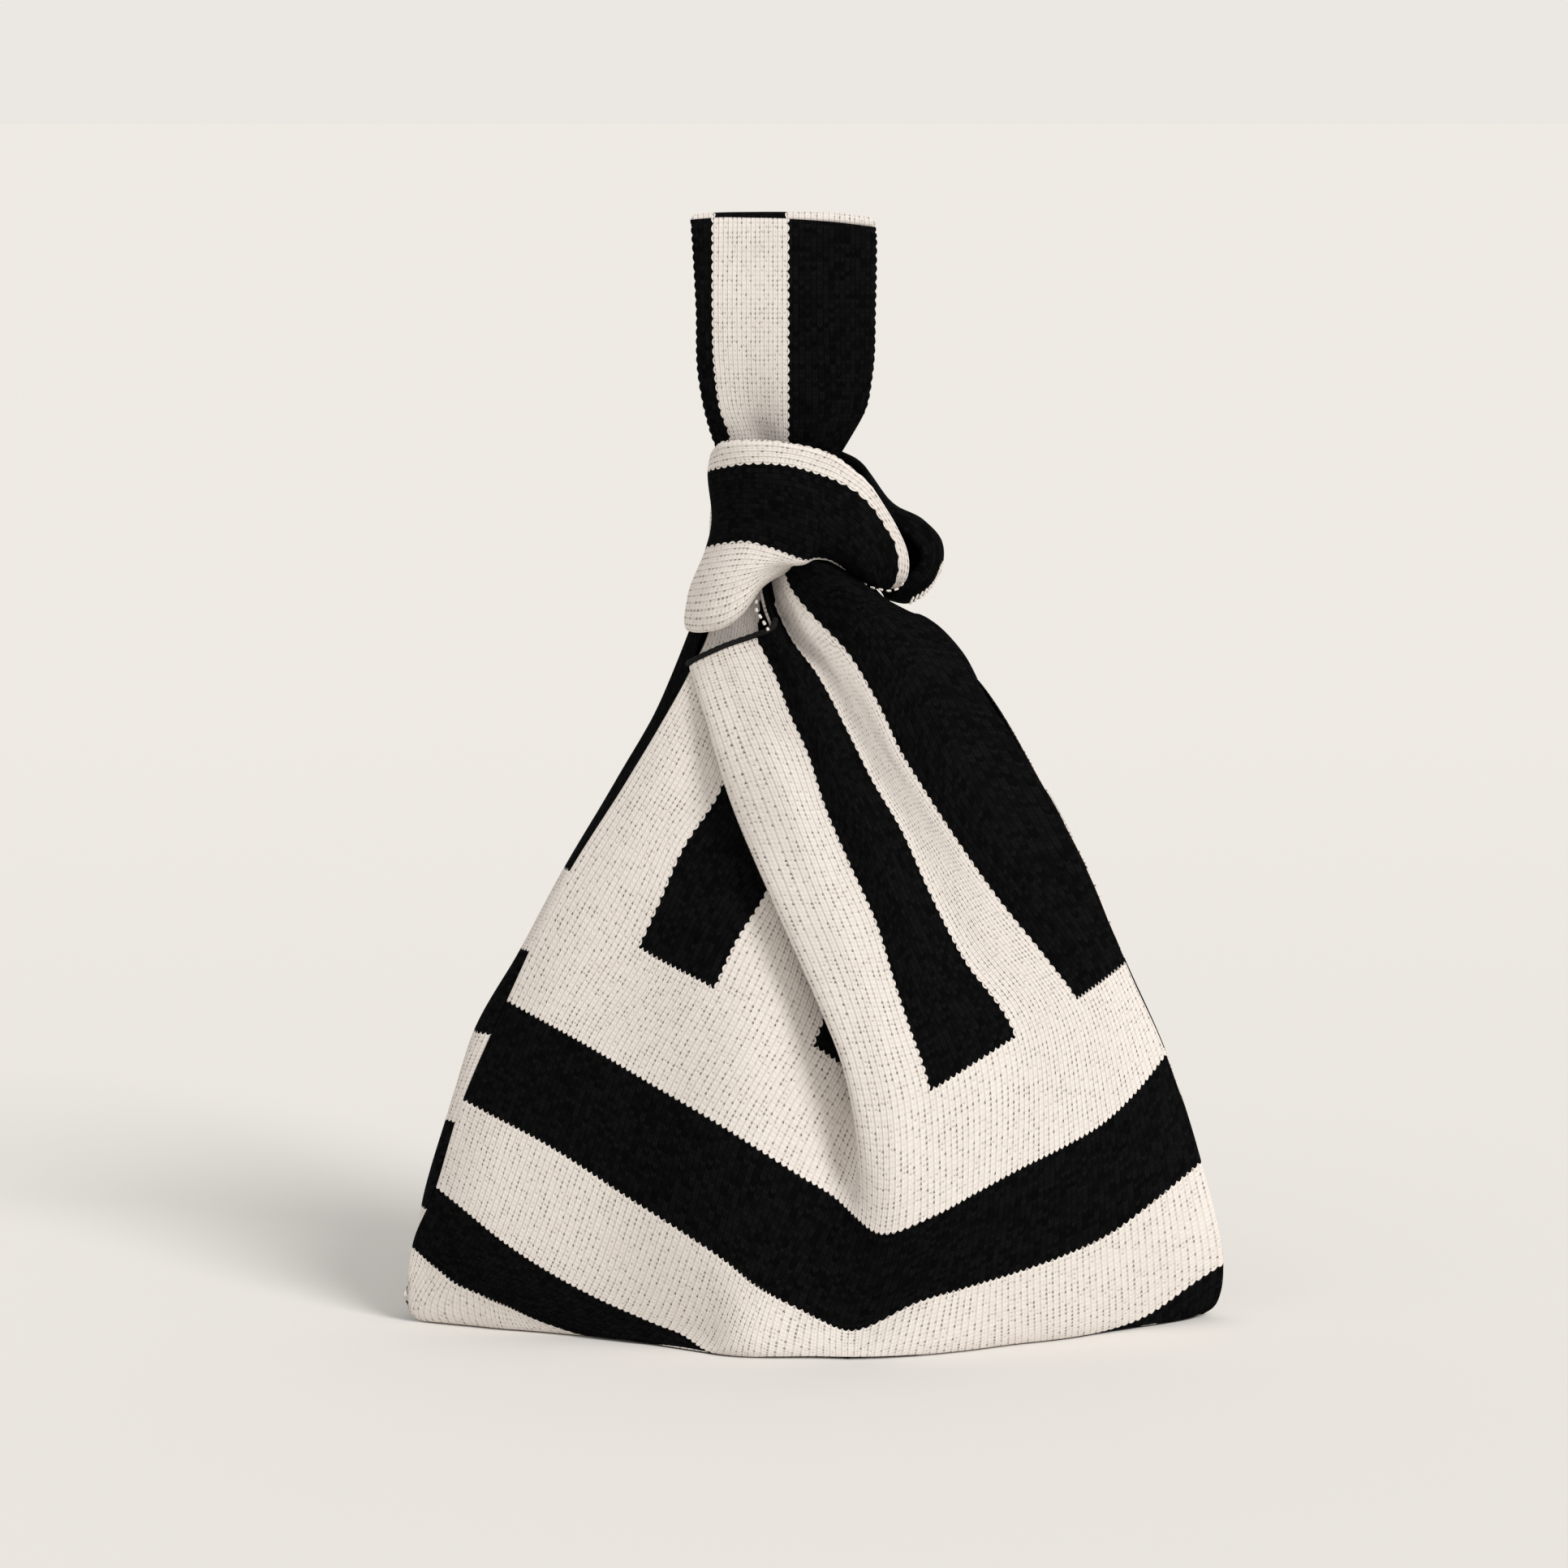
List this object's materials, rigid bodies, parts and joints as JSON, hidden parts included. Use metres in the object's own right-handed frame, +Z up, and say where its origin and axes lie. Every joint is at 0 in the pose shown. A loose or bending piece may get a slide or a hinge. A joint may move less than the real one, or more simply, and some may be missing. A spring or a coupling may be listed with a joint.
{
  "type": "japanese knot bag",
  "caption": "Soft knitted hand bag with a wide base, whose long handle is drawn through its short handle to close the mouth and form a wrist loop.",
  "frame": {"origin": "on the floor, under the middle of the base", "axes": "+X to the right seen from the front, -Y out of the front panel, +Z up towards the wrist loop"},
  "size_m": [0.2793, 0.116, 0.3852],
  "materials": {
    "cream_face_knit": "matte double knit, cream and black blocks, cream foremost",
    "black_face_knit": "matte double knit, the same blocks in reverse",
    "edge_thread": "matte black chain edge with cream linking stitches"
  },
  "bodies": {
    "bag": {"front_panel": "cream_face_knit", "back_panel": "black_face_knit", "side_seam_left": "edge_thread", "side_seam_right": "edge_thread", "base_seam": "edge_thread", "mouth_hem_front": "edge_thread", "mouth_hem_back": "edge_thread", "long_shoulder_front": "cream_face_knit", "long_shoulder_back": "black_face_knit", "short_shoulder_front": "cream_face_knit", "short_shoulder_back": "black_face_knit"},
    "short_loop": {"short_band_front": "cream_face_knit", "short_band_back": "black_face_knit", "short_band_seam": "edge_thread"},
    "long_handle": {"throat_front": "cream_face_knit", "throat_back": "black_face_knit"},
    "wrist_loop": {"wrist_leg_front": "cream_face_knit", "wrist_leg_back": "black_face_knit", "wrist_seam": "edge_thread"}
  },
  "joints": [
    {"name": "handle_draw", "type": "slide", "parent": "bag", "child": "long_handle", "axis": [0, 0, 1], "range_m": [0, 0.012]},
    {"name": "wrist_swing", "type": "hinge", "parent": "long_handle", "child": "wrist_loop", "pos_m": [-0.0111, 0, 0.3155], "axis": [1, 0, 0], "range_deg": [-75, 75]},
    {"name": "short_loop_slide", "type": "slide", "parent": "bag", "child": "short_loop", "axis": [0, 0, 1], "range_m": [0, 0.006]}
  ]
}
